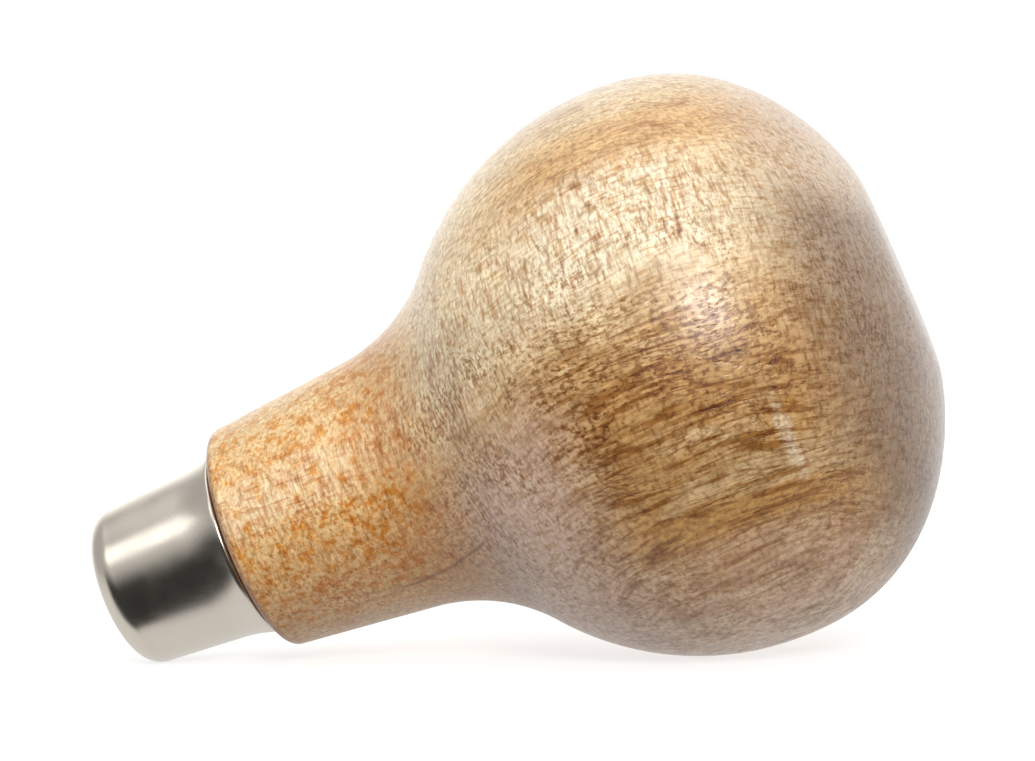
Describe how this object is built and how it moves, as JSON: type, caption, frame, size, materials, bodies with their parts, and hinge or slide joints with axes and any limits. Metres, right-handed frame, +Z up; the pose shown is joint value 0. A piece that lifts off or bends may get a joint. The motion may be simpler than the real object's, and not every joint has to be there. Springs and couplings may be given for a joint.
{
  "type": "palm tool handle",
  "caption": "Turned wooden bulb handle for a palm carving tool, with a concave neck, a small sanded flat on the butt and a drawn metal ferrule that takes the blade's tang.",
  "frame": {"origin": "on the surface the handle lies on, under the centre of its bounding box", "axes": "+Z up; +X along the length, from the ferrule towards the butt; the handle's own axis lies in the XZ plane and dips about 20 degrees from the bulb to the ferrule, as the handle lies at rest on its side"},
  "size_m": [0.0668, 0.0446, 0.0444],
  "materials": {
    "handle_wood": "clear satin to gloss lacquer over pale straw and tan hardwood, honey orange on the neck",
    "ferrule_nickel": "satin nickel plate, warm grey"
  },
  "bodies": {
    "root": {"bulb_handle": "handle_wood", "ferrule": "ferrule_nickel"}
  },
  "joints": []
}
